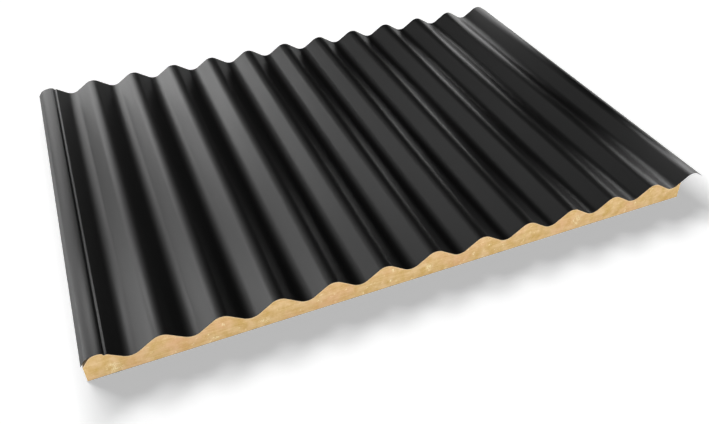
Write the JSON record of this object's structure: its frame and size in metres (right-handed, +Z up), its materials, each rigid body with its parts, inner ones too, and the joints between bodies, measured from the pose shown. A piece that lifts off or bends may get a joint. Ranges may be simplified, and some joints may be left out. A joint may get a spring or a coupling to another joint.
{
  "type": "insulated corrugated roofing panel",
  "caption": "Round-wave corrugated steel roofing sheet bonded to a rigid foam core with a thin lower facing, a grooved first rib to lie under the next panel and a bare wing to lap over it.",
  "frame": {"origin": "on the underside, in the middle of the panel's length and of the sheet's width", "axes": "+X across the waves, from the grooved first rib to the bare wing; +Y along the waves; +Z up through the weather side"},
  "size_m": [0.953, 0.7, 0.0405],
  "materials": {
    "coated_steel": "satin black polyester coating on rolled steel",
    "rigid_foam": "matt, fine-celled cut foam",
    "facing": "matt grey laminated facing"
  },
  "bodies": {
    "root": {"corrugated_sheet": "coated_steel", "foam_core": "rigid_foam", "underside_facing": "facing"}
  },
  "joints": []
}
